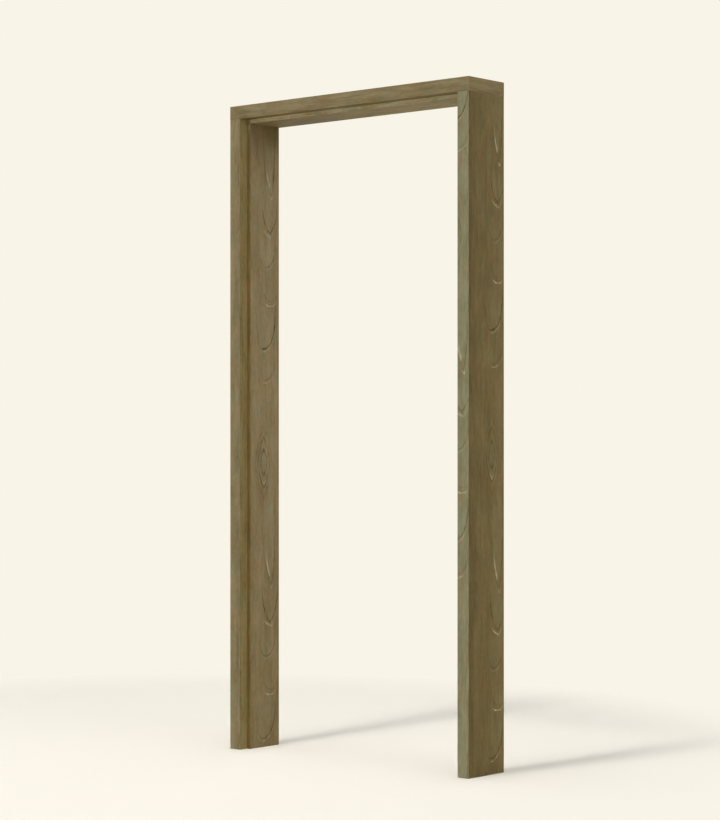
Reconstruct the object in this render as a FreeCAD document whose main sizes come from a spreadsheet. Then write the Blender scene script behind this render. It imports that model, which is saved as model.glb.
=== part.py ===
import FreeCAD, Part
import os

import Sketcher

# A rebated timber door frame: two jambs stand on the floor and carry a head that lies across their tops.
# Each corner is held by a row of countersunk screws with fluted dowels between them.
# Millimetres. X runs across the doorway, Y from the front, where the leaf closes, to the back, and Z up.
# The origin is on the floor in the middle of the frame.

SIZES = {
    # The frame as it stands in the wall.
    "frame_width": 990,
    "frame_height": 2100,
    "frame_depth": 175,
    # The section that jambs and head share: a face, a rebate for the leaf, and the stop that it closes on.
    "face_width": 43,
    "rebate_depth": 36,
    "stop_step": 13,
    "edge_radius": 1.5,
    "end_arris": 0.5,
    # The head's stop is cut this much short of each jamb's stop.
    "notch_gap": 0.3,
    # Screws, driven down through the head. Their thread is its outer cylinder.
    "screws_per_corner": 3,
    "screw_length": 100,
    "screw_thread_length": 60,
    "screw_diameter": 5,
    "screw_shank_diameter": 3.6,
    "screw_point_length": 6,
    "screw_head_diameter": 10,
    "screw_head_angle": 90,
    "screw_head_rim": 0.3,
    "screw_sink": 0.5,
    "screw_clearance": 0.2,
    "screw_end_gap": 0.5,
    "drive_span": 4.4,
    "drive_slot": 1.2,
    "drive_depth": 2,
    "drive_taper": 8,
    # Dowels, part in the head and the rest in the jamb.
    "dowel_diameter": 12,
    "dowel_length": 70,
    "dowel_seat": 28,
    "dowel_chamfer": 1.5,
    "dowel_clearance": 0.2,
    "dowel_end_gap": 0.5,
    "flute_count": 14,
    "flute_width": 1.2,
    "flute_depth": 0.6,
}

# What follows from those sizes, as expressions of the sheet's cells.
FRONT = "-sizes.frame_depth / 2"
STOP_LINE = "(sizes.face_width + sizes.stop_step)"
JAMB_LENGTH = "(sizes.frame_height - sizes.face_width)"
NOTCH_LINE = f"(sizes.frame_width / 2 - {STOP_LINE} - sizes.notch_gap)"
CORNER_SPAN = "(sizes.frame_width - sizes.face_width)"
# Screws and dowels take turns along the joint, at an even pitch.
PITCH = "sizes.frame_depth / (2 * sizes.screws_per_corner)"
DOWELS_PER_CORNER = "(sizes.screws_per_corner - 1)"
SCREW_HOLE = "(sizes.screw_diameter + sizes.screw_clearance)"
SCREW_HOLE_DEPTH = "(sizes.screw_length + sizes.screw_sink + sizes.screw_end_gap - sizes.face_width)"
HEAD_SLOPE = "tan(sizes.screw_head_angle / 2)"
COUNTERSINK = (
    "(sizes.screw_head_diameter + sizes.screw_clearance"
    f" + 2 * (sizes.screw_sink + sizes.screw_head_rim) * {HEAD_SLOPE})"
)
DOWEL_HOLE = "(sizes.dowel_diameter + sizes.dowel_clearance)"
DOWEL_IN_JAMB = "(sizes.dowel_length - sizes.dowel_seat)"

X_DIRECTION = FreeCAD.Vector(1, 0, 0)
Z_DIRECTION = FreeCAD.Vector(0, 0, 1)
CORNERS = 2
# Two places closer than this are the same place.
NEAR = 0.001
# A cut starts this far outside the timber.
OVERCUT = "1"

doc = FreeCAD.newDocument("door_frame")


def make_sheet():
    sheet = doc.addObject("Spreadsheet::Sheet", "sizes")
    for row, (name, value) in enumerate(SIZES.items(), 1):
        sheet.set(f"A{row}", name)
        sheet.set(f"B{row}", str(value))
        sheet.setAlias(f"B{row}", name)
    doc.recompute()
    return sheet


sheet = make_sheet()


def number(expression):
    """What an expression of the sheet's cells comes to."""
    return float(sheet.evalExpression(expression))


def bind(thing, **expressions):
    for name, expression in expressions.items():
        thing.setExpression(name, expression)


def origin_part(body, role):
    return next(part for part in body.Origin.OriginFeatures if part.Role == role)


def new_body(name, x_place, y_place, z_place):
    body = doc.addObject("PartDesign::Body", name)
    body.Label = name
    body.setExpression("Placement.Base.x", x_place)
    body.setExpression("Placement.Base.y", y_place)
    body.setExpression("Placement.Base.z", z_place)
    return body


def new_sketch(body, name, plane, height="0"):
    """A sketch on one of the body's origin planes, or at a height above it."""
    sketch = body.newObject("Sketcher::SketchObject", name)
    sketch.AttachmentSupport = [(origin_part(body, plane), "")]
    sketch.MapMode = "FlatFace"
    sketch.setExpression("AttachmentOffset.Base.z", height)
    return sketch


def new_feature(body, kind, name, profile=None, **settings):
    feature = body.newObject(f"PartDesign::{kind}", name)
    if profile:
        feature.Profile = profile
    for setting, value in settings.items():
        setattr(feature, setting, value)
    return feature


def dimension(sketch, kind, places, expression):
    index = sketch.addConstraint(Sketcher.Constraint(kind, *places, number(expression)))
    sketch.setExpression(f"Constraints[{index}]", expression)


def draw_outline(sketch, corners):
    """A closed outline of straight sides, with each corner held at its own two expressions."""
    first = sketch.GeometryCount
    count = len(corners)
    points = [FreeCAD.Vector(number(x), number(y), 0) for x, y in corners]
    for index in range(count):
        sketch.addGeometry(Part.LineSegment(points[index], points[(index + 1) % count]), False)
    for index in range(count):
        after = first + (index + 1) % count
        sketch.addConstraint(Sketcher.Constraint("Coincident", first + index, 2, after, 1))
    for index, (x, y) in enumerate(corners, first):
        dimension(sketch, "DistanceX", (-1, 1, index, 1), x)
        dimension(sketch, "DistanceY", (-1, 1, index, 1), y)


def draw_circle(sketch, x, y, diameter):
    centre = FreeCAD.Vector(number(x), number(y), 0)
    circle = sketch.addGeometry(Part.Circle(centre, Z_DIRECTION, number(diameter) / 2), False)
    dimension(sketch, "DistanceX", (-1, 1, circle, 3), x)
    dimension(sketch, "DistanceY", (-1, 1, circle, 3), y)
    dimension(sketch, "Diameter", (circle,), diameter)


def edge_names(feature, test):
    return [f"Edge{index}" for index, edge in enumerate(feature.Shape.Edges, 1) if test(edge)]


def member_section(place):
    """The corners of the section that all three members share, from the outer front one. place turns a
    distance inwards from the outer face and a distance back from the front into sketch coordinates."""
    return [
        place("0", "0"),
        place("sizes.face_width", "0"),
        place("sizes.face_width", "sizes.rebate_depth"),
        place(STOP_LINE, "sizes.rebate_depth"),
        place(STOP_LINE, "sizes.frame_depth"),
        place("0", "sizes.frame_depth"),
    ]


def round_long_edges(body, base, direction, inner_corner):
    """Rounds the edges that run along a member, apart from the rebate's inner corner."""

    def is_outer(edge):
        if edge.Curve.TypeId != "Part::GeomLine" or abs(edge.Curve.Direction.dot(direction)) < 1 - NEAR:
            return False
        to_edge = edge.CenterOfMass - inner_corner
        return (to_edge - direction * to_edge.dot(direction)).Length > NEAR

    doc.recompute()
    fillet = new_feature(body, "Fillet", "rounded_edges", Base=(base, edge_names(base, is_outer)))
    bind(fillet, Radius="sizes.edge_radius")
    return fillet


def ease_ends(body, base, direction, places):
    """Takes the arris off the sawn ends at these places along a member."""

    def is_end(edge):
        reaches = [vertex.Point.dot(direction) for vertex in edge.Vertexes]
        return any(max(abs(reach - place) for reach in reaches) < NEAR for place in places)

    doc.recompute()
    chamfer = new_feature(body, "Chamfer", "eased_ends", Base=(base, edge_names(base, is_end)))
    bind(chamfer, Size="sizes.end_arris")
    return chamfer


def repeat_along_joint(body, count, originals=(), corners=1):
    """Repeats features, or the whole body if none are named, along the joint and at both corners."""
    mode = "Features" if originals else "Whole shape"
    row = new_feature(body, "LinearPattern", "joint_row", TransformMode=mode, Originals=list(originals))
    row.Direction = (origin_part(body, "Y_Axis"), [""])
    bind(row, Occurrences=count, Length=f"2 * {PITCH} * ({count} - 1)")
    if corners > 1:
        row.Direction2 = (origin_part(body, "X_Axis"), [""])
        row.Occurrences2 = corners
        bind(row, Length2=CORNER_SPAN)
    body.Tip = row
    doc.recompute()


def bore_screw_holes(body, x_place, height, countersunk, corners):
    """Holes down from a height: countersunk right through the head, or blind in a jamb."""
    sketch = new_sketch(body, "screw_centre", "XY_Plane", height)
    draw_circle(sketch, x_place, PITCH, SCREW_HOLE)
    doc.recompute()
    hole = new_feature(body, "Hole", "screw_hole", sketch, ThreadType="None", DrillPoint="Flat")
    bind(hole, Diameter=SCREW_HOLE)
    if countersunk:
        hole.DepthType = "ThroughAll"
        hole.HoleCutType = "Countersink"
        hole.HoleCutCustomValues = True
        bind(hole, HoleCutDiameter=COUNTERSINK, HoleCutCountersinkAngle="sizes.screw_head_angle")
    else:
        hole.DepthType = "Dimension"
        bind(hole, Depth=SCREW_HOLE_DEPTH)
    repeat_along_joint(body, "sizes.screws_per_corner", [hole], corners)


def bore_dowel_sockets(body, x_place, height, depth, upwards, corners):
    sketch = new_sketch(body, "dowel_centre", "XY_Plane", height)
    draw_circle(sketch, x_place, f"2 * {PITCH}", DOWEL_HOLE)
    socket = new_feature(body, "Pocket", "dowel_socket", sketch, Reversed=upwards)
    bind(socket, Length=f"{depth} + sizes.dowel_end_gap")
    repeat_along_joint(body, DOWELS_PER_CORNER, [socket], corners)


def build_jamb(name, side):
    """side is -1 for the left jamb and 1 for the right. The body's own origin is the outer front corner of
    the foot, and the doorway lies on the other side of it."""
    body = new_body(name, f"{side} * sizes.frame_width / 2", FRONT, "0")
    section = new_sketch(body, "section", "XY_Plane")
    draw_outline(section, member_section(lambda inwards, back: (f"{-side} * {inwards}", back)))
    post = new_feature(body, "Pad", "post", section)
    bind(post, Length=JAMB_LENGTH)
    inner_corner = FreeCAD.Vector(-side * number("sizes.face_width"), number("sizes.rebate_depth"), 0)
    rounded = round_long_edges(body, post, Z_DIRECTION, inner_corner)
    ease_ends(body, rounded, Z_DIRECTION, [0])
    centre_line = f"{-side} * sizes.face_width / 2"
    bore_screw_holes(body, centre_line, JAMB_LENGTH, countersunk=False, corners=1)
    bore_dowel_sockets(body, centre_line, JAMB_LENGTH, DOWEL_IN_JAMB, upwards=False, corners=1)
    return body


def cut_notches(body):
    """Cuts the stop away at both ends, so that the head's flat underside lies on the jambs' tops."""
    sketch = new_sketch(body, "notches", "XZ_Plane")
    low = f"-{STOP_LINE} - {OVERCUT}"
    for side in ("", "-"):
        near = side + NOTCH_LINE
        far = f"{side}(sizes.frame_width / 2 + {OVERCUT})"
        seat = "-sizes.face_width"
        draw_outline(sketch, [(near, low), (far, low), (far, seat), (near, seat)])
    return new_feature(body, "Pocket", "end_notches", sketch, Type="ThroughAll", Midplane=True)


def build_head():
    """The body's own origin is in the middle of the top front edge."""
    body = new_body("head", "0", FRONT, "sizes.frame_height")
    section = new_sketch(body, "section", "YZ_Plane")
    draw_outline(section, member_section(lambda down, back: (back, "-" + down)))
    board = new_feature(body, "Pad", "board", section, Midplane=True)
    bind(board, Length="sizes.frame_width")
    inner_corner = FreeCAD.Vector(0, number("sizes.rebate_depth"), number("-sizes.face_width"))
    round_long_edges(body, board, X_DIRECTION, inner_corner)
    notched = cut_notches(body)
    half_width = number("sizes.frame_width / 2")
    ease_ends(body, notched, X_DIRECTION, [-half_width, half_width])
    first_corner = f"-{CORNER_SPAN} / 2"
    bore_screw_holes(body, first_corner, "0", countersunk=True, corners=CORNERS)
    bore_dowel_sockets(body, first_corner, "-sizes.face_width", "sizes.dowel_seat", upwards=True, corners=CORNERS)
    return body


def build_screws():
    """The body's own origin is the middle of the first screw's head."""
    sink = "sizes.frame_height - sizes.screw_sink"
    body = new_body("corner_screws", f"-{CORNER_SPAN} / 2", f"{FRONT} + {PITCH}", sink)
    head, shank, thread = (
        f"sizes.{part}_diameter / 2" for part in ("screw_head", "screw_shank", "screw")
    )
    head_foot = f"-(sizes.screw_head_rim + ({head} - {shank}) / {HEAD_SLOPE})"
    thread_start = "sizes.screw_thread_length - sizes.screw_length"
    point_start = "sizes.screw_point_length - sizes.screw_length"
    sketch = new_sketch(body, "half_section", "XZ_Plane")
    draw_outline(
        sketch,
        [
            ("0", "0"),
            (head, "0"),
            (head, "-sizes.screw_head_rim"),
            (shank, head_foot),
            (shank, thread_start),
            (thread, thread_start),
            (thread, point_start),
            ("0", "-sizes.screw_length"),
        ],
    )
    new_feature(body, "Revolution", "screw", sketch, ReferenceAxis=(sketch, ["V_Axis"]), Angle=360)
    cut_cross_drive(body)
    repeat_along_joint(body, "sizes.screws_per_corner", corners=CORNERS)
    return body


def cut_cross_drive(body):
    """A cross of two slots that narrow downwards."""
    sketch = new_sketch(body, "cross", "XY_Plane")
    far, far_back = "sizes.drive_span / 2", "-sizes.drive_span / 2"
    near, near_back = "sizes.drive_slot / 2", "-sizes.drive_slot / 2"
    right_arm = [(near, near_back), (far, near_back), (far, near)]
    upper_arm = [(near, near), (near, far), (near_back, far)]
    left_arm = [(near_back, near), (far_back, near), (far_back, near_back)]
    lower_arm = [(near_back, near_back), (near_back, far_back), (near, far_back)]
    draw_outline(sketch, right_arm + upper_arm + left_arm + lower_arm)
    drive = new_feature(body, "Pocket", "cross_drive", sketch)
    bind(drive, Length="sizes.drive_depth", TaperAngle="-sizes.drive_taper")


def build_dowels():
    """The body's own origin is the middle of the first dowel's lower end."""
    foot = f"{JAMB_LENGTH} - {DOWEL_IN_JAMB}"
    body = new_body("corner_dowels", f"-{CORNER_SPAN} / 2", f"{FRONT} + 2 * {PITCH}", foot)
    sketch = new_sketch(body, "round", "XY_Plane")
    draw_circle(sketch, "0", "0", "sizes.dowel_diameter")
    peg = new_feature(body, "Pad", "peg", sketch)
    bind(peg, Length="sizes.dowel_length")
    doc.recompute()
    pointed = new_feature(body, "Chamfer", "pointed_ends")
    pointed.Base = (peg, edge_names(peg, lambda edge: edge.Curve.TypeId == "Part::GeomCircle"))
    bind(pointed, Size="sizes.dowel_chamfer")
    # A V in the rim, drawn on outwards at the same slope until it is as deep again outside the peg.
    groove = new_sketch(body, "groove", "XY_Plane")
    bottom = "sizes.dowel_diameter / 2 - sizes.flute_depth"
    outside = "sizes.dowel_diameter / 2 + sizes.flute_depth"
    draw_outline(groove, [(bottom, "0"), (outside, "-sizes.flute_width"), (outside, "sizes.flute_width")])
    flute = new_feature(body, "Pocket", "flute", groove, Type="ThroughAll", Midplane=True)
    doc.recompute()
    flutes = new_feature(body, "PolarPattern", "flutes", Originals=[flute], Angle=360)
    flutes.Axis = (origin_part(body, "Z_Axis"), [""])
    bind(flutes, Occurrences="sizes.flute_count")
    body.Tip = flutes
    repeat_along_joint(body, DOWELS_PER_CORNER, corners=CORNERS)
    return body


def check_document():
    for item in doc.Objects:
        bad = {"Invalid", "Error"} & set(item.State)
        if bad:
            raise RuntimeError(f"{item.Name} in {item.getParentGeoFeatureGroup()} failed: {item.getStatusString()}")


def write_parts(bodies):
    for body in bodies:
        if body.Shape.isNull() or not body.Shape.isValid():
            raise RuntimeError(f"{body.Label} has no valid shape")
    os.makedirs("parts", exist_ok=True)
    for body in bodies:
        body.Shape.exportStep(f"parts/{body.Label}.step")
        print(body.Label, len(body.Shape.Solids), "solid(s),", round(body.Shape.Volume / 1000), "cm3")


parts = [build_jamb("left_jamb", -1), build_jamb("right_jamb", 1), build_head(), build_screws(), build_dowels()]
doc.recompute()
check_document()
write_parts(parts)
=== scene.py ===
import math

import bpy
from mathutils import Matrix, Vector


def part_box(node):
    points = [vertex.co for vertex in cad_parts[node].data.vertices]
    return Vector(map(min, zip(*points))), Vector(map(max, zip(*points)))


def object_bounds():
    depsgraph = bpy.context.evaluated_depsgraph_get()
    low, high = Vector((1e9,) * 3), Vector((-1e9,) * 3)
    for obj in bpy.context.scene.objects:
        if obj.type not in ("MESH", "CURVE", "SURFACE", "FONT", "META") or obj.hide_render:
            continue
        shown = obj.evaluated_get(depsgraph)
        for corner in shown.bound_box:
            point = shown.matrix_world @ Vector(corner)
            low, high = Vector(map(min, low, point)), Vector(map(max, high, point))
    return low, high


# A rebated timber door frame on a plain cream floor. All its pieces are CAD nodes. This script gives the
# members their veneer, the screws their zinc and the dowels their beech, and adds the camera, the lights and
# the floor.

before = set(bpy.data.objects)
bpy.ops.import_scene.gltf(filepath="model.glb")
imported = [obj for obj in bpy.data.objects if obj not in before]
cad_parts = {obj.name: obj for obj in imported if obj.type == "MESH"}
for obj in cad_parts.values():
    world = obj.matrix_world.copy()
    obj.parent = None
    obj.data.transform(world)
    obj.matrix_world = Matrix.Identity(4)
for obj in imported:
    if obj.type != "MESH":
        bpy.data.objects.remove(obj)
cad_low, cad_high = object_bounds()

# Lengths in the members' materials are mm, and all others m.
MM = 1000
WIDTH, DEPTH, HEIGHT = (MM * (high - low) for low, high in zip(cad_low, cad_high))
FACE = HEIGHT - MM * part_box("left_jamb")[1].z
REBATE_DEPTH = 36

CREAM = (249, 244, 232)

# The wood's colours, member by member. "face" looks along Y, "side" is the wide surface, "recess" is
# the rebate's side, "shoulder" is the stop's front and "end" is the surface across the member's end. The
# jambs' dark shoulders are painted shade from the rebate's side, and the head's pale shoulder is painted
# light on its stop's front, which the head's rebate ceiling shades.
WOOD = {
    "left_jamb": {
        "face": (121, 110, 81),
        "side": (145, 129, 94),
        "recess": (145, 130, 88),
        "shoulder": (106, 87, 42),
        "end": (118, 104, 72),
    },
    "right_jamb": {
        "face": (109, 104, 75),
        "side": (112, 97, 57),
        "recess": (143, 127, 84),
        "shoulder": (106, 86, 41),
        "end": (118, 104, 72),
    },
    "head": {
        "face": (116, 104, 73),
        "side": (131, 117, 76),
        "recess": (112, 99, 52),
        "shoulder": (200, 189, 157),
        "end": (134, 118, 83),
    },
}
# Painted light: a jamb's shoulder just under the head is this pale, where the head's rebate shades it.
SHOULDER_PAINTED_LIGHT = (164, 143, 96)
LIGHT_LINE = (200, 191, 158)
# A painted highlight on the rounded edges.
EDGE_HIGHLIGHT = (176, 166, 132)

# How the shade of each member's wide surface changes along it: pairs of a share of its length, from the
# foot or the left end, and a shade. The dark at the left jamb's top and at the head's left end is painted
# shade from the corner between them; the rest is darker and lighter along the boards.
SIDE_TONES_AND_SHADE = {
    "left_jamb": ((0.0, 0.74), (0.2, 0.84), (0.5, 0.98), (0.87, 1.0), (0.975, 0.68)),
    "right_jamb": ((0.0, 0.9), (0.4, 1.0)),
    "head": ((0.05, 0.72), (0.3, 0.66), (0.5, 0.84), (0.75, 1.0)),
}

# Darker wood is browner: its green and blue fall faster than its red.
GREEN_POWER, BLUE_POWER = 1.1, 1.6

# The piece of veneer on each member. `board` picks it, `lift` is how much lighter it is at its back, and
# `flames` and `streaks` are how strong its broad and its thin streaks are.
BOARDS = {
    "left_jamb": {"board": 1.0, "lift": 0.0, "flames": 0.55, "streaks": 0.3},
    "right_jamb": {"board": 2.0, "lift": 0.18, "flames": 0.75, "streaks": 0.3},
    "head": {"board": 5.0, "lift": 0.0, "flames": 0.7, "streaks": 0.8},
}

# The layers of noise that every board has. Each has its patches' width and length in mm, its offset from the
# board's seed, and its detail and roughness.
LAYERS = {
    "bands": (22, 500, 0.0, 1.0, 0.5),
    "flames": (11, 85, 10.0, 3.0, 0.6),
    "streaks": (4.5, 200, 0.0, 3.0, 0.6),
    "fibres": (1.0, 60, 0.0, 2.0, 0.6),
    "pores": (0.6, 9, 0.0, 1.0, 0.5),
    "clouds": (60, 150, 0.0, 2.0, 0.5),
    "ripple": (8, 20, 20.0, 3.0, 0.6),
    "hue": (30, 90, 40.0, 2.0, 0.5),
}

# Where the figure lies on each jamb, in mm. On the side that the camera sees it starts `first_tongue` below
# the top. `hidden_side` is 1 where the camera can't see the outer side and -1 where it can't see the one in
# the doorway. The offsets move the figure across the sides and the faces, `face_shift` moves it down the
# faces, and `face_top_shift` moves it farther down near their top. All of it is `squeeze` times shorter.
JAMB_FIGURES = {
    "left_jamb": {
        "first_tongue": 410,
        "hidden_side": 1,
        "side_offset": 12,
        "face_offset": 4,
        "face_shift": -120,
        "face_top_shift": 0,
        "squeeze": 1.012,
    },
    "right_jamb": {
        "first_tongue": 370,
        "hidden_side": -1,
        "side_offset": 0,
        "face_offset": 126,
        "face_shift": 634,
        "face_top_shift": 34,
        "squeeze": 1.0,
    },
}
HIDDEN_SIDE_SHIFT, BACK_SHIFT = 470.0, 350.0
FACE_FIGURE_STRENGTH, HEAD_FIGURE_STRENGTH = 0.8, 0.35

# The veneer's figure: tongues that open upwards, one below another, over and over along the board. All
# sizes are mm. A tongue's tip lies `tip` below the figure's start and `middle` behind the board's front
# edge. Its two sides rise from there, open most of the way by `rise` and end `left` and `right` of it. A
# power of 1 makes a pointed tip and 0.5 a round one. Its line fades out `reach` above the tip and
# `thickness` to either side, and its two sides have the strengths `left_share` and `right_share`.
REPEAT = 1296
COLUMNS = (
    "tip", "middle", "left", "right", "rise", "power", "reach", "left_share", "right_share", "thickness",
)
DARK_LINES = [
    (0, 143, 40, 38, 38, 1.0, 170, 1.0, 0.8, 2.6),
    (112, 124, 36, 50, 40, 0.5, 110, 0.35, 0.75, 2.2),
    (226, 146, 50, 50, 45, 0.5, 50, 0.45, 0.35, 1.8),
    (385, 105, 28, 66, 42, 0.5, 190, 0.3, 1.0, 3.2),
    (488, 116, 26, 56, 34, 0.5, 80, 0.2, 0.5, 2.0),
    (800, 114, 24, 30, 70, 1.0, 200, 0.35, 0.35, 2.0),
    (1172, 150, 44, 18, 70, 1.0, 430, 0.35, 0.9, 2.6),
]
LIGHT_LINES = [
    (13, 149, 42, 14, 13, 1.0, 30, 1.0, 0.3, 3.8),
    (121, 124, 36, 50, 40, 0.5, 30, 0.2, 0.35, 2.6),
    (242, 144, 60, 56, 45, 0.5, 14, 1.0, 0.7, 3.0),
    (394, 105, 28, 66, 42, 0.5, 50, 0.1, 0.45, 2.6),
    (498, 118, 26, 60, 34, 0.5, 40, 0.3, 0.6, 2.6),
    (836, 115, 14, 14, 18, 1.0, 26, 0.9, 0.6, 2.8),
    (1141, 141, 26, 10, 70, 1.0, 95, 0.9, 0.1, 5.0),
    (1182, 152, 8, 8, 12, 1.0, 16, 0.8, 0.6, 3.2),
]

# The eye among the tongues, with half its width and height, and its rings: how large each is, and how dark.
EYE_TIP, EYE_MIDDLE, EYE_WIDTH, EYE_HEIGHT = 763, 113, 15, 44
EYE_RINGS = ((1.0, 0.7), (1.9, 0.5), (2.7, 0.25))


def srgb(red, green, blue):
    """A colour read off a picture, 0 to 255 a channel, as linear light."""

    def linear(value):
        share = value / 255
        return share / 12.92 if share <= 0.04045 else ((share + 0.055) / 1.055) ** 2.4

    return (linear(red), linear(green), linear(blue), 1.0)


class Nodes:
    """Writes a node tree as sums: each call adds a node and gives back its output."""

    def __init__(self, tree):
        self.tree = tree

    def add(self, kind, inputs=(), **settings):
        node = self.tree.nodes.new("ShaderNode" + kind)
        for name, value in settings.items():
            setattr(node, name, value)
        for key, value in dict(inputs).items():
            self.feed(node.inputs[key], value)
        return node

    def feed(self, socket, value):
        if isinstance(value, bpy.types.NodeSocket):
            self.tree.links.new(value, socket)
        else:
            socket.default_value = value

    def math(self, operation, *values):
        return self.add("Math", enumerate(values), operation=operation).outputs[0]

    def plus(self, *values):
        total = values[0]
        for value in values[1:]:
            total = self.math("ADD", total, value)
        return total

    def minus(self, first, second):
        return self.math("SUBTRACT", first, second)

    def times(self, *values):
        total = values[0]
        for value in values[1:]:
            total = self.math("MULTIPLY", total, value)
        return total

    def length(self, first, second):
        return self.math("SQRT", self.plus(self.times(first, first), self.times(second, second)))

    def step(self, value, start, end, low=0.0, high=1.0):
        """Goes smoothly from low to high as value goes from start to end."""
        inputs = {"Value": value, "From Min": start, "From Max": end, "To Min": low, "To Max": high}
        return self.add("MapRange", inputs, interpolation_type="SMOOTHSTEP").outputs[0]

    def choose(self, share, without, with_share):
        return self.add("Mix", {0: share, 2: without, 3: with_share}).outputs[0]

    def colour_mix(self, share, first, second, blend="MIX"):
        inputs = {0: share, 6: first, 7: second}
        return self.add("Mix", inputs, data_type="RGBA", blend_type=blend).outputs[2]

    def vector(self, x, y, z=0.0):
        return self.add("CombineXYZ", {0: x, 1: y, 2: z}).outputs[0]

    def noise(self, vector, detail=2.0, roughness=0.5):
        """Noise about zero, from about -0.5 to 0.5."""
        inputs = {"Vector": vector, "Scale": 1.0, "Detail": detail, "Roughness": roughness}
        return self.minus(self.add("TexNoise", inputs).outputs[0], 0.5)

    def patches(self, across, along, width, length, seed=0.0, detail=2.0, roughness=0.5):
        """Noise in patches of about this width and length."""
        vector = self.vector(self.times(across, 1 / width), self.times(along, 1 / length), seed)
        return self.noise(vector, detail, roughness)


def new_group(name, inputs, outputs):
    """A node group. Names that end in color are colours and the rest are numbers."""
    tree = bpy.data.node_groups.new(name, "ShaderNodeTree")
    for names, side in ((inputs, "INPUT"), (outputs, "OUTPUT")):
        for socket in names:
            kind = "NodeSocketColor" if socket.endswith("color") else "NodeSocketFloat"
            tree.interface.new_socket(socket, in_out=side, socket_type=kind)
    start = tree.nodes.new("NodeGroupInput").outputs
    end = tree.nodes.new("NodeGroupOutput").inputs
    return Nodes(tree), start, end


def use_group(n, group, **inputs):
    node = n.add("Group", node_tree=group)
    for name, value in inputs.items():
        n.feed(node.inputs[name], value)
    return node.outputs


def to_nearest_repeat(n, distance):
    """The distance to the nearest of a mark's repeats along the board."""
    return n.math("WRAP", distance, REPEAT / 2, -REPEAT / 2)


def make_tongue_group():
    """The line round one tongue, and how far inside the tongue a place is. The line has its full strength
    for the first fifth of its reach."""
    n, start, end = new_group("tongue", ("across", "along", *COLUMNS), ("line", "inside"))
    off_middle = n.minus(start["across"], start["middle"])
    above = to_nearest_repeat(n, n.minus(start["tip"], start["along"]))
    on_right = n.step(off_middle, -5.0, 5.0)
    width = n.choose(on_right, start["left"], start["right"])

    # Half the tongue's width grows from nothing at the tip, fast at first. The slope of its side there turns
    # a distance across the board into one from the line.
    risen = n.math("MAXIMUM", above, 0.0)
    decay = n.math("EXPONENT", n.times(n.math("DIVIDE", risen, start["rise"]), -1.0))
    opened = n.math("MAXIMUM", n.minus(1.0, decay), 0.01)
    half = n.times(width, n.math("POWER", opened, start["power"]))
    slope = n.math("DIVIDE", n.times(half, start["power"], decay), n.times(opened, start["rise"]))
    outside = n.minus(n.math("ABSOLUTE", off_middle), half)
    beside = n.math("DIVIDE", outside, n.length(slope, 1.0))
    below = n.math("MINIMUM", above, 0.0)

    line = n.step(n.length(beside, below), start["thickness"], 0.0)
    fade = n.step(above, start["reach"], n.times(start["reach"], 0.2))
    share = n.choose(on_right, start["left_share"], start["right_share"])
    n.feed(end["line"], n.times(line, fade, share))
    n.feed(end["inside"], n.times(n.step(outside, 0.0, -9.0), fade, n.step(above, 0.0, 8.0)))
    return n.tree


def add_lines(n, tongue_group, lines, across, along):
    """The strongest of all the lines at each place, and how far inside tongues the place is."""
    line, inside = 0.0, 0.0
    for row in lines:
        outputs = use_group(n, tongue_group, across=across, along=along, **dict(zip(COLUMNS, row)))
        line = n.math("MAXIMUM", line, outputs["line"])
        inside = n.math("MAXIMUM", inside, outputs["inside"])
    return line, inside


def find_eye(n, across, along):
    """How far a place is from the eye's middle, where 1 is the eye's edge, and how far across the board. The
    edge lies halfway between an ellipse and a rhombus."""
    eye_along = to_nearest_repeat(n, n.minus(along, EYE_TIP))
    eye_across = n.minus(across, EYE_MIDDLE)
    across_share = n.math("ABSOLUTE", n.times(eye_across, 1 / EYE_WIDTH))
    along_share = n.math("ABSOLUTE", n.times(eye_along, 1 / EYE_HEIGHT))
    ellipse = n.length(across_share, along_share)
    rhombus = n.plus(across_share, along_share)
    return n.choose(0.5, ellipse, rhombus), eye_across


def make_figure_group(tongue_group):
    """The tongues and the eye of the veneer's figure, from a place on the board, and how far the eye bends
    the grain. The lines waver and are stronger in some places than in others."""
    n, start, end = new_group("figure", ("across", "along"), ("dark", "light", "inside", "bend"))
    sway = n.patches(start["across"], start["along"], 45, 70)
    wobble = n.patches(start["across"], start["along"], 12, 16, 5.0)
    across = n.plus(start["across"], n.times(sway, 9.0), n.times(wobble, 3.0))
    along = n.plus(start["along"], n.times(wobble, 6.0))
    dark, inside = add_lines(n, tongue_group, DARK_LINES, across, along)
    light, _ = add_lines(n, tongue_group, LIGHT_LINES, across, along)
    eye, eye_across = find_eye(n, across, along)
    for size, share in EYE_RINGS:
        ring = n.step(n.math("ABSOLUTE", n.minus(eye, size)), 0.2, 0.0, 0.0, share)
        dark = n.math("MAXIMUM", dark, ring)
    strength = n.step(n.patches(across, along, 20, 22, 9.0), -0.2, 0.12, 0.45, 1.15)
    n.feed(end["dark"], n.times(dark, strength))
    n.feed(end["light"], n.times(light, strength))
    n.feed(end["inside"], n.math("MAXIMUM", inside, n.step(eye, 2.2, 0.8)))
    n.feed(end["bend"], n.times(n.step(eye, 4.0, 0.6), eye_across, -0.5))
    return n.tree


def add_layers(n, across, along, board):
    """The layers of a board's noise, by name."""
    layers = {}
    for name, (width, length, offset, detail, roughness) in LAYERS.items():
        seed = n.plus(board, offset)
        layers[name] = n.patches(across, along, width, length, seed, detail, roughness)
    return layers


def browned(n, shade):
    """A shade as a colour to multiply wood by."""
    channels = {0: shade, 1: n.math("POWER", shade, GREEN_POWER), 2: n.math("POWER", shade, BLUE_POWER)}
    return n.add("CombineColor", channels).outputs[0]


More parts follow.
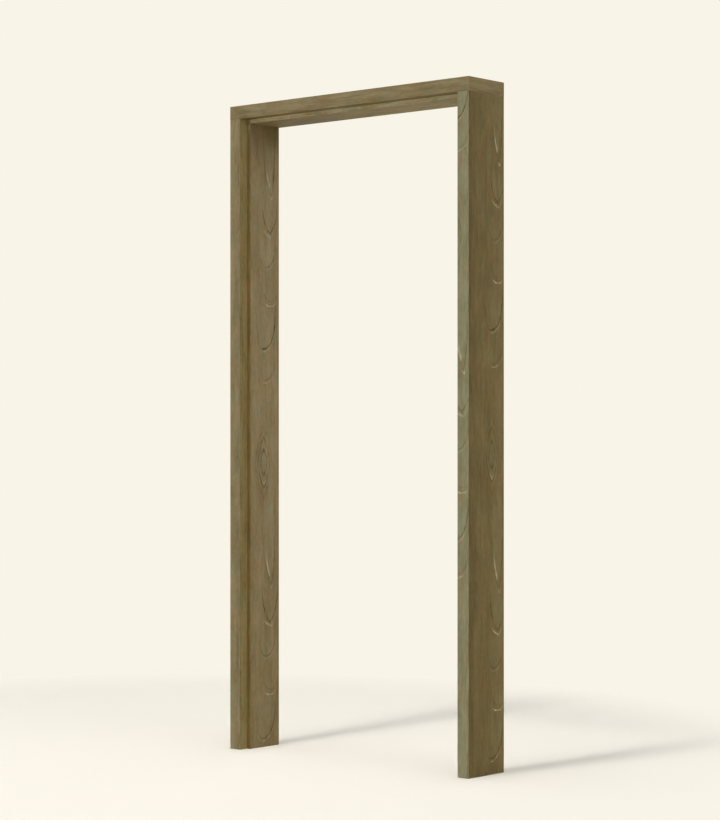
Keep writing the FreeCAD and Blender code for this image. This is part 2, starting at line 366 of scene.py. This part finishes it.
def make_veneer_group(figure_group):
    """Veneer from a place on a board: the shade that its colour is multiplied by, how pale its light lines
    make it, how high it stands and how rough it is."""
    inputs = ("across", "along", "board", "figure", "lift", "flames", "streaks")
    n, start, end = new_group("veneer", inputs, ("shade_color", "pale", "height", "roughness"))
    across, along, board = start["across"], start["along"], start["board"]
    figure = use_group(n, figure_group, across=across, along=along)
    dark = n.times(figure["dark"], start["figure"])
    light = n.times(figure["light"], start["figure"], start["figure"])
    inside = n.times(figure["inside"], start["figure"])

    drift = n.times(n.patches(across, along, 60, 220, board), 26.0)
    waver = n.times(n.patches(across, along, 24, 50, n.plus(board, 60.0)), 10.0)
    layers = add_layers(n, n.plus(across, drift, waver, figure["bend"]), along, board)
    pores = n.step(layers["pores"], 0.12, 0.22)
    front = n.step(across, 60.0, -20.0)
    back = n.step(across, 90.0, 165.0)

    shade = n.plus(
        1.0,
        n.times(back, start["lift"]),
        n.times(layers["bands"], 0.3),
        n.times(layers["flames"], start["flames"]),
        n.times(layers["streaks"], start["streaks"]),
        n.times(layers["fibres"], 0.2),
        n.times(layers["clouds"], 0.6),
        n.times(layers["ripple"], 0.45),
        n.times(pores, -0.08),
        n.times(front, -0.3),
        n.times(inside, 0.07),
        n.times(dark, -0.75),
    )
    shade = browned(n, n.math("MAXIMUM", shade, 0.05))
    warm, green = (1.055, 0.982, 0.92, 1.0), (0.95, 1.015, 1.04, 1.0)
    greenness = n.step(n.plus(layers["hue"], n.times(inside, 0.12)), -0.18, 0.22)
    tint = n.colour_mix(greenness, warm, green)
    fibre_height = n.times(layers["fibres"], 0.3)
    height = n.plus(n.times(dark, -1.0), n.times(light, 0.5), fibre_height, n.times(pores, -0.2))
    grain = n.plus(layers["streaks"], layers["fibres"])
    n.feed(end["shade_color"], n.colour_mix(1.0, shade, tint, "MULTIPLY"))
    n.feed(end["pale"], n.times(light, n.plus(0.68, n.times(layers["ripple"], 1.5))))
    n.feed(end["height"], height)
    n.feed(end["roughness"], n.step(grain, -0.3, 0.3, 0.72, 0.62))
    return n.tree


def new_material(name):
    material = bpy.data.materials.new(name)
    material.use_nodes = True
    tree = material.node_tree
    return material, Nodes(tree), tree.nodes["Principled BSDF"]


def facing(n, part):
    """1 where a surface looks along the axis that part belongs to, and 0 elsewhere."""
    return n.step(n.math("ABSOLUTE", part), 0.6, 0.8)


def in_rebate(n, from_front):
    """1 in front of the stop."""
    return n.step(from_front, REBATE_DEPTH + 1.0, REBATE_DEPTH + 0.2)


def far_from_back(n, from_front):
    """1 up to the stop's shoulder and a little behind it, and 0 at the back."""
    return n.step(from_front, 60.0, 50.0)


def side_tone_and_shade(n, share, tones_and_shades):
    """The shade at a share of a member's length: the board's tone, with painted shade near the corner."""
    node = n.add("ValToRGB", {0: share})
    ramp = node.color_ramp
    ramp.interpolation = "EASE"
    while len(ramp.elements) < len(tones_and_shades):
        ramp.elements.new(1.0)
    for element, (position, shade) in zip(ramp.elements, tones_and_shades):
        element.position = position
        element.color = (shade, shade ** GREEN_POWER, shade ** BLUE_POWER, 1.0)
    return node.outputs[0]


def wood_colour(
    n, colours, tone_and_shade, looks_along_y, in_recess, on_shoulder, on_end, painted_shade=0.0, painted_light_under_head=0.0
):
    """The wood's colour from masks, each 1 where its colour belongs, with painted shade and painted light
    among them.
    """
    # The side's tone along the member, with painted shade near the corner of the left jamb and the head.
    side = n.colour_mix(1.0, srgb(*colours["side"]), tone_and_shade, "MULTIPLY")
    # Painted shade: the side takes the shoulder's dark colour where this mask is 1.
    side = n.colour_mix(painted_shade, side, srgb(*colours["shoulder"]))
    side = n.colour_mix(in_recess, side, srgb(*colours["recess"]))
    face = n.colour_mix(on_shoulder, srgb(*colours["face"]), srgb(*colours["shoulder"]))
    # Painted light on the shoulder just under the head.
    face = n.colour_mix(painted_light_under_head, face, srgb(*SHOULDER_PAINTED_LIGHT))
    colour = n.colour_mix(looks_along_y, side, face)
    return n.colour_mix(on_end, colour, srgb(*colours["end"]))


def paint_edge_highlight(n, point, normal, colour):
    """Rounded edges get a painted highlight, stronger here and there: a rounded edge's normal lies along no
    axis.
    """
    x, y, z = point
    largest = n.math("MAXIMUM", n.math("ABSOLUTE", normal["X"]), n.math("ABSOLUTE", normal["Y"]))
    largest = n.math("MAXIMUM", largest, n.math("ABSOLUTE", normal["Z"]))
    on_edge = n.step(largest, 0.995, 0.9)
    edge_noise = n.noise(n.vector(n.times(x, 1 / 40), n.times(y, 1 / 40), n.times(z, 1 / 60)))
    highlight_share = n.step(edge_noise, -0.1, 0.25, 0.05, 0.4)
    return n.colour_mix(n.times(on_edge, highlight_share), colour, srgb(*EDGE_HIGHLIGHT))


def make_member_material(name, veneer_group, find_place):
    """Veneer for one member. find_place turns a point and its normal into a place on a board, a share of the
    member's length and the masks of wood_colour."""
    material, n, surface = new_material(name)
    metres = n.add("SeparateXYZ", {0: n.add("TexCoord").outputs["Object"]}).outputs
    normal = n.add("SeparateXYZ", {0: n.add("NewGeometry").outputs["Normal"]}).outputs
    point = [n.times(part, MM) for part in metres]
    place, share, masks = find_place(n, point, normal)
    veneer = use_group(n, veneer_group, **place, **BOARDS[name])
    colour = wood_colour(n, WOOD[name], side_tone_and_shade(n, share, SIDE_TONES_AND_SHADE[name]), **masks)
    colour = n.colour_mix(1.0, colour, veneer["shade_color"], "MULTIPLY")
    colour = n.colour_mix(veneer["pale"], colour, srgb(*LIGHT_LINE))
    n.feed(surface.inputs["Base Color"], paint_edge_highlight(n, point, normal, colour))
    n.feed(surface.inputs["Roughness"], veneer["roughness"])
    surface.inputs["Specular IOR Level"].default_value = 0.25
    bump = n.add("Bump", {"Height": veneer["height"], "Distance": 0.0008, "Strength": 0.5})
    n.feed(surface.inputs["Normal"], bump.outputs[0])
    return material


def jamb_masks(n, face, end, from_opening, from_front, below_top):
    """The masks of wood_colour on a jamb. Its wide sides get painted shade along the stop's front edge and
    at the back of the doorway's top corners, and its shoulder gets painted light just under the head."""
    towards_opening = n.step(from_opening, 20.0, 10.0)
    below_head = n.step(below_top, 60.0, 110.0)
    # Painted shade along the stop's front edge, and at the back of the top corner under the head.
    stop_edge = n.times(n.step(from_front, 40.5, 38.5, 0.0, 0.8), below_head)
    back_corner = n.times(n.step(from_front, 80.0, 140.0), n.step(below_top, 160.0, 70.0))
    on_stop = n.times(n.step(from_opening, 1.2, 0.4), far_from_back(n, from_front))
    return {
        "looks_along_y": face,
        "in_recess": n.times(in_rebate(n, from_front), towards_opening),
        "painted_shade": n.times(n.math("MAXIMUM", stop_edge, back_corner), towards_opening),
        # Painted light: near the head the shoulder loses its dark colour and then turns pale, where the
        # head's rebate shades it.
        "on_shoulder": n.times(on_stop, below_head),
        "painted_light_under_head": n.times(on_stop, n.step(below_top, 82.0, 60.0)),
        "on_end": end,
    }


def jamb_place(first_tongue, hidden_side, side_offset, face_offset, face_shift, face_top_shift, squeeze):
    """Where a jamb's surfaces lie on their boards. Its wide ones look along X and its faces along Y, and
    each has another part of the figure."""

    def find_place(n, point, normal):
        x, y, z = point
        face = facing(n, normal["Y"])
        end = facing(n, normal["Z"])
        from_opening = n.plus(n.math("ABSOLUTE", x), FACE - WIDTH / 2)
        from_front = n.plus(y, DEPTH / 2)
        below_top = n.minus(HEIGHT, z)
        outwards = n.times(n.math("SIGN", x), normal["X"])
        hidden = n.step(outwards, 0.2 * hidden_side, 0.6 * hidden_side)
        behind = n.step(normal["Y"], 0.2, 0.6)
        down_face = n.plus(face_shift, n.step(below_top, 320.0, 120.0, 0.0, face_top_shift))
        hidden_shift = n.times(hidden, HIDDEN_SIDE_SHIFT)
        shift = n.plus(n.times(face, down_face), hidden_shift, n.times(behind, BACK_SHIFT))
        place = {
            "across": n.choose(face, n.plus(from_front, side_offset), n.plus(from_opening, face_offset)),
            "along": n.times(n.minus(below_top, n.plus(first_tongue, shift)), squeeze),
            "figure": n.choose(face, 1.0, FACE_FIGURE_STRENGTH),
        }
        masks = jamb_masks(n, face, end, from_opening, from_front, below_top)
        return place, n.times(z, 1 / HEIGHT), masks

    return find_place


def head_place(n, point, normal):
    """Where the head's surfaces lie on their boards: its grain runs along X, and along Y on its ends."""
    top_across, end_middle_along = 62.0, 300.0
    x, y, z = point
    face = facing(n, normal["Y"])
    end = facing(n, normal["X"])
    below_top = n.minus(HEIGHT, z)
    from_front = n.plus(y, DEPTH / 2)
    underneath = n.step(below_top, 30.0, 35.0)
    on_stop = n.step(below_top, FACE - 1.0, FACE + 0.5)
    upright = n.math("MAXIMUM", face, end)
    place = {
        "across": n.choose(upright, from_front, n.minus(top_across, below_top)),
        "along": n.choose(end, n.plus(x, WIDTH / 2), n.plus(y, end_middle_along)),
        "figure": HEAD_FIGURE_STRENGTH,
    }
    masks = {
        "looks_along_y": face,
        "in_recess": n.times(in_rebate(n, from_front), underneath),
        # The head's pale shoulder colour is painted light on the stop's front, which its rebate ceiling
        # shades.
        "on_shoulder": n.times(on_stop, far_from_back(n, from_front)),
        "on_end": end,
    }
    return place, n.plus(n.times(x, 1 / WIDTH), 0.5), masks


def make_zinc():
    material, n, surface = new_material("zinc")
    point = n.add("TexCoord").outputs["Object"]
    scratches = n.add("TexNoise", {"Vector": point, "Scale": 900.0, "Detail": 3.0}).outputs[0]
    surface.inputs["Base Color"].default_value = (0.62, 0.6, 0.54, 1.0)
    surface.inputs["Metallic"].default_value = 1.0
    n.feed(surface.inputs["Roughness"], n.step(scratches, 0.3, 0.7, 0.28, 0.42))
    return material


def make_beech():
    dark, light = srgb(198, 160, 118), srgb(222, 190, 150)
    material, n, surface = new_material("beech")
    point = n.add("TexCoord").outputs["Object"]
    grain = n.add("Mapping", {"Vector": point, "Scale": (900.0, 900.0, 30.0)}).outputs[0]
    shade = n.plus(n.noise(grain), 0.5)
    n.feed(surface.inputs["Base Color"], n.colour_mix(shade, dark, light))
    surface.inputs["Roughness"].default_value = 0.7
    return material


def dress(node, material):
    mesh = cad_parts[node].data
    mesh.materials.clear()
    mesh.materials.append(material)


def dress_nodes():
    veneer = make_veneer_group(make_figure_group(make_tongue_group()))
    for name, figure in JAMB_FIGURES.items():
        dress(name, make_member_material(name, veneer, jamb_place(**figure)))
    dress("head", make_member_material("head", veneer, head_place))
    dress("corner_screws", make_zinc())
    dress("corner_dowels", make_beech())


def add_object(name, data):
    added = bpy.data.objects.new(name, data)
    bpy.context.scene.collection.objects.link(added)
    return added


def make_camera():
    """The photograph's camera, fitted to the frame's corners in it. It looks level, and its shift moves the
    horizon below the picture's middle."""
    focal_px, frame_px, horizon_px = 2257.0, 820, 432.06
    place, turn = (4.6546, -5.3996, 1.0360), 40.817
    data = bpy.data.cameras.new("camera")
    data.sensor_width = 36.0
    data.lens = data.sensor_width * focal_px / frame_px
    data.shift_y = (horizon_px - frame_px / 2) / frame_px
    camera = add_object("camera", data)
    camera.location = place
    camera.rotation_euler = (math.radians(90), 0, math.radians(turn))
    bpy.context.scene.camera = camera


def seen_directly(n):
    """1 for rays from the camera, off a mirror or through glass, which see the backdrop's own colour."""
    ray = n.add("LightPath").outputs
    mirrored = n.math("MAXIMUM", ray["Is Glossy Ray"], ray["Is Transmission Ray"])
    return n.math("MAXIMUM", ray["Is Camera Ray"], mirrored)


def make_world(level):
    """Even white light from all round, which is seen directly as cream."""
    world = bpy.data.worlds.new("studio")
    bpy.context.scene.world = world
    world.use_nodes = True
    n = Nodes(world.node_tree)
    light = world.node_tree.nodes["Background"]
    light.inputs["Color"].default_value = (1.0, 1.0, 1.0, 1.0)
    light.inputs["Strength"].default_value = level
    backdrop = n.add("Background", {"Color": srgb(*CREAM), "Strength": 1.0})
    mix = n.add("MixShader", {0: seen_directly(n), 1: light.outputs[0], 2: backdrop.outputs[0]})
    n.feed(world.node_tree.nodes["World Output"].inputs["Surface"], mix.outputs[0])


def make_floor_material():
    """Cream that lets light spread a little inside it, so that shadows on it are soft right from the feet.
    Away from the frame it goes over to the backdrop's colour."""
    middle, near, far = (-0.8, 0.0, 0.0), 1.35, 2.15
    material, n, surface = new_material("floor")
    surface.inputs["Base Color"].default_value = srgb(*CREAM)
    surface.inputs["Roughness"].default_value = 0.9
    surface.inputs["Specular IOR Level"].default_value = 0.0
    surface.subsurface_method = "BURLEY"
    surface.inputs["Subsurface Weight"].default_value = 1.0
    surface.inputs["Subsurface Radius"].default_value = (1.0, 1.0, 1.0)
    surface.inputs["Subsurface Scale"].default_value = 0.55
    point = n.add("TexCoord").outputs["Object"]
    distance = n.add("VectorMath", {0: point, 1: middle}, operation="DISTANCE").outputs["Value"]
    plain = n.add("Emission", {"Color": srgb(*CREAM), "Strength": 1.0})
    share = n.times(n.step(distance, near, far), seen_directly(n))
    mix = n.add("MixShader", {0: share, 1: surface.outputs[0], 2: plain.outputs[0]})
    n.feed(material.node_tree.nodes["Material Output"].inputs["Surface"], mix.outputs[0])
    return material


def make_floor():
    half = 60.0
    corners = [(-half, -half, 0), (half, -half, 0), (half, half, 0), (-half, half, 0)]
    mesh = bpy.data.meshes.new("floor")
    mesh.from_pydata(corners, [], [(0, 1, 2, 3)])
    mesh.materials.append(make_floor_material())
    add_object("floor", mesh)


def add_sun(name, azimuth, elevation, spread, level):
    """A far lamp. Azimuth 0 is straight in front of the frame and grows to the left; level is its light on
    a surface that faces it, where 1 shows a colour as it is written."""
    data = bpy.data.lights.new(name, "SUN")
    data.energy = level * math.pi
    data.angle = math.radians(spread)
    lamp = add_object(name, data)
    lamp.rotation_euler = (math.radians(90 - elevation), 0, -math.radians(azimuth))


def add_tall_panel(level):
    """The light that makes the floor's shadows: high in front of the frame, narrow and tall. Its light
    doesn't fall off with distance, so the floor stays even. Its level is as in add_sun."""
    place, aim = (-0.25, -5.45, 6.97), (-0.25, 0.4, 0.0)
    data = bpy.data.lights.new("tall_panel", "AREA")
    data.shape = "RECTANGLE"
    data.size = 0.95
    data.size_y = 5.0
    data.energy = level * math.pi * math.pi
    data.use_nodes = True
    n = Nodes(data.node_tree)
    falloff = n.add("LightFalloff", {"Strength": 1.0}).outputs["Constant"]
    n.feed(data.node_tree.nodes["Emission"].inputs["Strength"], falloff)
    lamp = add_object("tall_panel", data)
    lamp.location = place
    lamp.rotation_euler = (math.atan2(aim[1] - place[1], place[2] - aim[2]), 0, 0)


def make_lights():
    fill_elevation, fill_spread = 12, 40
    add_tall_panel(0.86)
    add_sun("right_fill", -80, fill_elevation, fill_spread, 0.26)
    add_sun("left_fill", 80, fill_elevation, fill_spread, 0.2)
    add_sun("back_fill", 180, fill_elevation, fill_spread, 0.2)
    make_world(0.2)


bpy.context.scene.view_settings.view_transform = "Standard"
dress_nodes()
make_camera()
make_lights()
make_floor()
